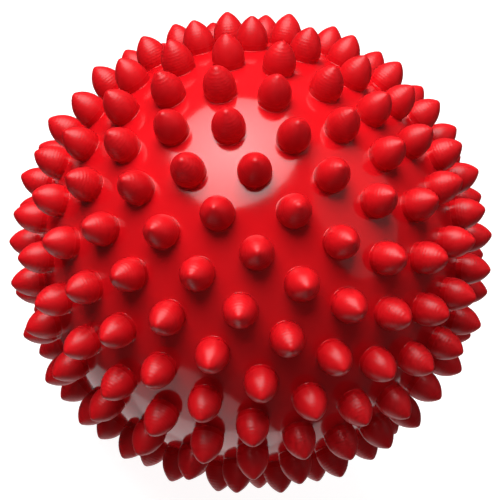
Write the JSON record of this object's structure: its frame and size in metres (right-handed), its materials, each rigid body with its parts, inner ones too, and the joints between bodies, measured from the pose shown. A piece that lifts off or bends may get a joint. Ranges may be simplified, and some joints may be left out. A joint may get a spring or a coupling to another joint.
{
  "type": "spiky massage ball",
  "caption": "Hollow soft-PVC massage ball covered in rings of bullet-shaped spikes, with a pull-out valve plug at its lower pole.",
  "frame": {"origin": "centre of the ball, which is the centre of the smooth sphere between the spikes", "axes": "+Z along the mould axis towards the spike on the north pole; the valve is at the south pole, -Z"},
  "size_m": [0.0898, 0.0898, 0.0884],
  "materials": {
    "shell_pvc": "glossy soft PVC",
    "seat_pvc": "satin soft PVC",
    "plug_plastic": "semi-gloss moulded plastic"
  },
  "bodies": {
    "ball": {"ball_shell": "shell_pvc", "valve_seat": "seat_pvc"},
    "plug": {"valve_plug": "plug_plastic"}
  },
  "joints": [
    {"name": "plug_pull", "type": "slide", "parent": "ball", "child": "plug", "axis": [0, 0, -1], "range_m": [0, 0.018]}
  ]
}
